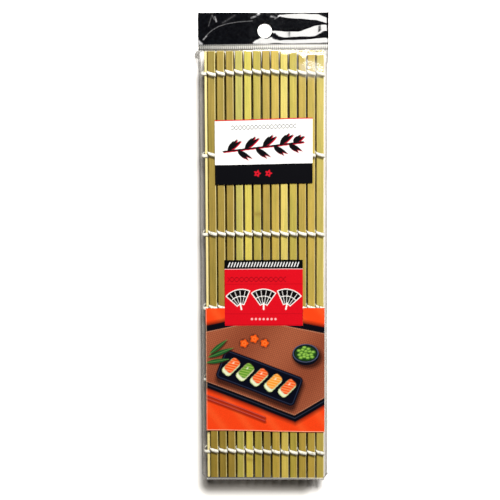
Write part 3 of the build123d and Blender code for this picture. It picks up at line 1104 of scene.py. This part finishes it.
# Red label: a black strip with a white plait lies along its top, and under it the label is red, with two
# crossing cords, three open fans between fine darker rules, and a row of dots.
sheet, across, down, colours = printed_sheet("label_strip_print", "label_strip", 175, 22, linear(8, 8, 8))
for step in range(25):
    at = 2.6 + step * 1.6
    paint(bar((at - 0.45, 3.75), (at + 0.45, 1.45), 0.26), linear(250, 250, 250))
paint(5.02 - down, linear(255, 200, 200))
finish_print()
on_pouch(sheet, "label_strip")

fan_white = linear(252, 250, 246)
sheet, across, down, colours = printed_sheet("label_red_print", "label_red", 175, 127, linear(216, 14, 30))
for rule in (8.2, 24.9, 31.2):
    paint(np.abs(down - rule) - 0.10, linear(150, 6, 20), cover=0.7)
for cord in cords(5.6, 1.2, 1.15, 0.64, 0.15, 18.0, 16.3):
    paint(cord, linear(120, 6, 18), cover=0.8)
for centre, tilt in ((8.6, -0.22), (21.8, 0.0), (35.0, 0.22)):
    hub = (centre - 6 * math.sin(tilt) * 0.6, 22.4)
    away = np.hypot(across - hub[0], down - hub[1])
    turn = np.arctan2(across - hub[0], hub[1] - down) - tilt
    sector = np.maximum(np.maximum(away - 11.0, 3.2 - away), (np.abs(turn) - 0.62) * away)
    paint(sector - 0.5, fan_white)
    paint(sector, linear(12, 8, 10))
    for rib in (-0.42, -0.14, 0.14, 0.42):
        line = np.maximum(np.abs(turn - rib) * away - 0.14, np.maximum(away - 10.6, 3.4 - away))
        paint(line, fan_white)
    paint(np.maximum(np.abs(away - 7.4) - 0.20, np.abs(turn) * away - 0.60 * away), fan_white)
    handle_end = (hub[0] + 3.4 * math.sin(tilt), hub[1] - 3.4 * math.cos(tilt))
    paint(bar(hub, handle_end, 0.42), fan_white)
for step in range(7):
    paint(oval((15.2 + step * 2.2, 28.0), 0.62, 0.62), linear(250, 190, 190))
finish_print()
on_pouch(sheet, "label_red")

# Picture: a table scene in print. A woven tray with a dark rim lies on an orange cloth and carries a long
# black dish of rice cakes, a bowl of green beans, carrot slices, a pair of sticks and a few leaves.
cloth = linear(246, 68, 22)
sheet, across, down, colours = printed_sheet("picture_print", "picture_panel", 222, 234, cloth)
fold_light = 0.5 + 0.5 * np.sin(across * 0.42 - down * 0.31)
lay(fold_light**3 * 0.18, linear(255, 128, 62))
tray = [(-8.0, 12.0), (30.0, 4.0), (80.0, 14.0), (80.0, 46.0), (50.0, 64.0), (-8.0, 42.0)]


def tray_edge(grow):
    """The distance to the tray, grown by some millimetres."""
    edges = []
    for (x0, y0), (x1, y1) in zip(tray, tray[1:] + tray[:1]):
        span = math.hypot(x1 - x0, y1 - y0)
        edges.append(((across - x0) * (y1 - y0) - (down - y0) * (x1 - x0)) / span)
    return np.max(np.array(edges), axis=0) - grow


paint(tray_edge(1.8), linear(60, 14, 10), 2.4, 0.8)
paint(tray_edge(0.4), linear(10, 9, 18), 0.3)
paint(np.maximum(np.abs(tray_edge(-1.4)) - 0.16, 30.0 - down), linear(70, 84, 110), 0.3, 0.45)
board = inside(tray_edge(-3.0), 0.25)
lay(board, linear(140, 72, 48))
lay(board * (0.5 + 0.5 * np.sin(across * 0.13 + down * 0.10)) * 0.45, linear(182, 106, 74))
paint(np.abs(tray_edge(-3.2)) - 0.14, linear(206, 150, 120), 0.25, 0.7)
weave = board.copy()


def put(distance, colour, soft=0.3, cover=1.0):
    """Paints a shape of the picture, and keeps the weave out of it where the paint covers."""
    global weave
    paint(distance, colour, soft, cover)
    if cover > 0.9:
        weave = weave * (1 - inside(distance, soft))


def turned(u, v, turn):
    """Places measured along and across a thing that is turned."""
    return u * math.cos(turn) + v * math.sin(turn), v * math.cos(turn) - u * math.sin(turn)


def oblong(u, v, half_u, half_v, rim):
    """The distance to an oblong with a round rim."""
    return np.hypot(np.maximum(np.abs(u) - half_u, 0), np.maximum(np.abs(v) - half_v, 0)) - rim


# The long black dish, and five oblong rice cakes laid across it, each with something bright on top
dish_shade = linear(30, 12, 12)
u, v = turned(across - 30.0, down - 39.5, 0.36)
dish = oblong(u, v, 21.0, 6.2, 2.6)
put(oblong(u - 1.0, v - 2.2, 21.0, 6.2, 3.2), dish_shade, 2.4, 0.85)
put(dish, linear(8, 10, 24))
put(np.abs(dish + 1.0) - 0.12, linear(64, 76, 110), 0.3, 0.6)
speckle = np.sin(across * 5.3 + down * 1.9) * np.sin(down * 6.1 - across * 1.4)
salmon = (linear(240, 84, 20), linear(255, 190, 130))
cucumber = (linear(96, 150, 44), linear(190, 214, 110))
omelette = (linear(250, 150, 40), linear(255, 226, 150))
for number, (topping, stripe) in enumerate((salmon, cucumber, salmon, omelette, salmon)):
    cake_u, cake_v = turned(u + 17.0 - number * 8.4, v, 0.42)
    cake = oblong(cake_u, cake_v, 0.9, 3.4, 2.0)
    put(cake - 0.8, linear(4, 6, 12), 1.4, 0.9)
    put(cake + 0.14 * speckle, linear(216, 228, 168))
    put(np.maximum(cake + 0.5, -0.2 - speckle * 0.5), linear(250, 250, 226), 0.5, 0.7)
    top = oblong(cake_u + 0.2, cake_v + 1.1, 1.0, 2.9, 1.5)
    put(top - 0.15, linear(90, 40, 20), 0.6, 0.6)
    put(top + 0.06 * speckle, topping)
    slant = np.abs(np.mod(cake_v + 0.6 * cake_u, 1.7) - 0.85) - 0.22
    put(np.maximum(top + 0.25, slant), stripe, 0.35, 0.75)
    put(np.hypot(cake_u + 0.7, (cake_v + 2.6) / 1.8) - 0.35, linear(255, 246, 220), 0.5, 0.8)

# The bowl of beans stands at the upper right
put(oval((57.2, 27.6), 8.4, 6.6), dish_shade, 2.2, 0.85)
put(oval((56.0, 26.2), 7.6, 6.0), linear(8, 10, 22))
put(np.abs(oval((56.0, 25.4), 7.0, 5.0)) - 0.16, linear(92, 104, 136), 0.3, 0.8)
put(oval((56.0, 25.6), 6.1, 4.3), linear(26, 56, 24))
bean_count = 17
for number in range(bean_count):
    angle, far = number * 2.4, math.sqrt(number / bean_count) * 5.0
    bean_x, bean_y = 56.0 + far * math.cos(angle), 25.5 + far * 0.68 * math.sin(angle)
    put(oval((bean_x, bean_y), 1.25, 0.9), linear(60, 110, 34))
    put(oval((bean_x - 0.15, bean_y - 0.2), 0.9, 0.55), linear(152, 200, 82), 0.5, 0.95)

# Leaves and carrot slices lie at the upper left, the sticks at the lower left, all with their shadows
for root, tip, width in (
    ((1.0, 28.0), (15.5, 22.5), 1.3), ((0.0, 31.0), (13.0, 29.0), 1.2), ((2.0, 26.0), (12.0, 17.8), 1.2),
):
    shade = leaf((root[0] + 0.5, root[1] + 0.7), (tip[0] + 0.5, tip[1] + 0.7), width)
    put(shade, linear(40, 16, 12), 0.8, 0.8)
    put(leaf(root, tip, width), linear(26, 84, 40))
    put(np.maximum(bar(root, tip, 0.10), leaf(root, tip, width)), linear(120, 170, 84), 0.3, 0.8)
for centre_x, centre_y in ((21.5, 20.0), (27.2, 17.4), (33.0, 19.8)):
    far = np.hypot(across - centre_x, down - centre_y)
    turn = np.arctan2(down - centre_y, across - centre_x)
    put(far - 2.7, linear(50, 20, 14), 1.2, 0.8)
    put(far - 2.15 - 0.32 * np.cos(turn * 5), linear(238, 88, 20))
    put(np.abs(far - 0.95) - 0.12, linear(255, 150, 70), 0.4, 0.8)
for shift in (0.0, 2.0):
    put(bar((-2.0, 49.5 + shift), (33.0, 62.9 + shift), 0.8), linear(60, 12, 8), 0.8, 0.6)
    put(bar((-2.0, 49.0 + shift), (33.0, 62.2 + shift), 0.48), linear(150, 24, 20))
    put(bar((-2.0, 48.8 + shift), (33.0, 62.0 + shift), 0.12), linear(240, 120, 100), 0.3, 0.7)
rim_light = linear(255, 206, 170)
paint(np.abs(down - 69.8) - 0.18, rim_light, cover=0.85)
paint(np.abs(across - 0.25) - 0.14, rim_light, cover=0.5)
finish_print(weave)

# The picture is cut out round the red label
notch_low, notch_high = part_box("label_red")
bpy.ops.object.select_all(action="DESELECT")
sheet.select_set(True)
bpy.context.view_layer.objects.active = sheet
bpy.ops.object.mode_set(mode="EDIT")
bpy.ops.mesh.select_mode(type="FACE")
bpy.ops.mesh.select_all(action="DESELECT")
edit = bmesh.from_edit_mesh(sheet.data)
for face in edit.faces:
    middle = face.calc_center_median()
    face.select = notch_low[0] < middle.x < notch_high[0] and middle.y > notch_low[1]
bmesh.update_edit_mesh(sheet.data)
bpy.ops.mesh.delete(type="FACE")
bpy.ops.object.mode_set(mode="OBJECT")
on_pouch(sheet, "picture_panel")
